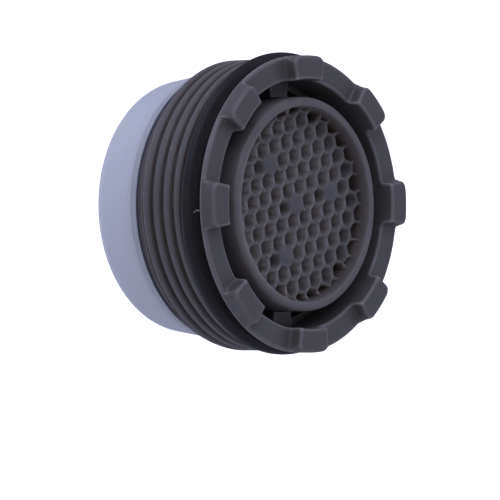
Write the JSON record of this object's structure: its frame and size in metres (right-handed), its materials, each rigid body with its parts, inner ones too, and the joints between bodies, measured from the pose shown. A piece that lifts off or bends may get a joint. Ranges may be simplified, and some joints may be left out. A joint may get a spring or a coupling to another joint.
{
  "type": "tap aerator",
  "caption": "Recessed tap aerator: a threaded, castellated plastic housing with a honeycomb outlet, a black O-ring behind its flange and a white inlet strainer, screwed into the end of a spout.",
  "frame": {"origin": "centre of the inlet end, on the flat floor of the strainer", "axes": "+Z along the thread's axis, out of the outlet; X and Y each run through a pair of drive lugs"},
  "size_m": [0.0224, 0.0224, 0.0135],
  "materials": {
    "grey_moulding": "satin moulded acetal, dark warm grey",
    "black_rubber": "matt moulded nitrile rubber",
    "screen_mesh": "fine moulded mesh, pale grey",
    "white_moulding": "translucent bluish-white moulded acetal"
  },
  "bodies": {
    "root": {"housing": "grey_moulding", "stream_straightener": "grey_moulding", "seal_ring": "black_rubber", "upper_screen": "screen_mesh", "lower_screen": "screen_mesh", "diffuser": "white_moulding", "inlet_strainer": "white_moulding"}
  },
  "joints": []
}
